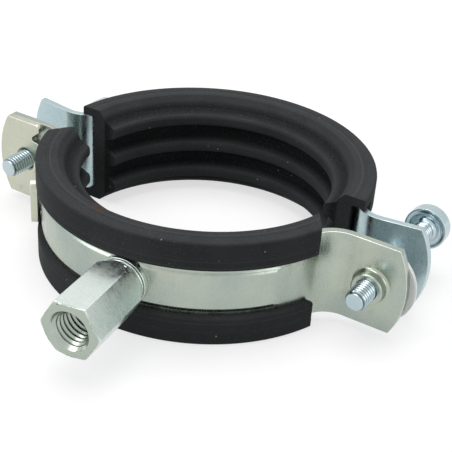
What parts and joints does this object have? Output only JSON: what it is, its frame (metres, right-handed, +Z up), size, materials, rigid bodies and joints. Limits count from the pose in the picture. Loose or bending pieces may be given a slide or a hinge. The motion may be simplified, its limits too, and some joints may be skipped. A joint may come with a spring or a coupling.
{
  "type": "rubber lined pipe clamp",
  "caption": "Two-piece metal pipe clamp with ribbed rubber linings, two long closing screws through flat ears and a hexagonal connection nut on the front half.",
  "frame": {"origin": "on the pipe's axis, at half the height of the lining", "axes": "+Z up along the pipe's axis, +X towards the screw closure with the plastic disc, -Y towards the connection nut"},
  "size_m": [0.1359, 0.1194, 0.0306],
  "materials": {
    "zinc_yellow": "zinc plated with a faint yellow-green tint",
    "zinc_blue": "zinc plated, bluish white",
    "rubber": "matt charcoal rubber",
    "plastic": "whitish translucent plastic"
  },
  "bodies": {
    "front_half": {"front_band": "zinc_yellow", "front_lining": "rubber", "connection_nut": "zinc_blue", "lock_plate": "zinc_yellow", "retaining_disc": "plastic"},
    "rear_half": {"rear_band": "zinc_blue", "rear_lining": "rubber"},
    "right_screw_body": {"right_screw": "zinc_blue"},
    "left_screw_body": {"left_screw": "zinc_blue"}
  },
  "joints": [
    {"name": "closing", "type": "slide", "parent": "front_half", "child": "rear_half", "axis": [0, 1, 0], "range_m": [-0.008, 0.009]},
    {"name": "right_screw_turn", "type": "hinge", "parent": "rear_half", "child": "right_screw_body", "pos_m": [0.0573, 0.005, 0], "axis": [0, 1, 0], "range_deg": [-2881, 3241]},
    {"name": "left_screw_turn", "type": "hinge", "parent": "rear_half", "child": "left_screw_body", "pos_m": [-0.0573, 0.005, 0], "axis": [0, 1, 0], "range_deg": [-2881, 3241]}
  ],
  "couplings": [
    {"joint": "right_screw_turn", "follows": "closing", "rad_per_m": 6283.2},
    {"joint": "left_screw_turn", "follows": "closing", "rad_per_m": 6283.2}
  ]
}
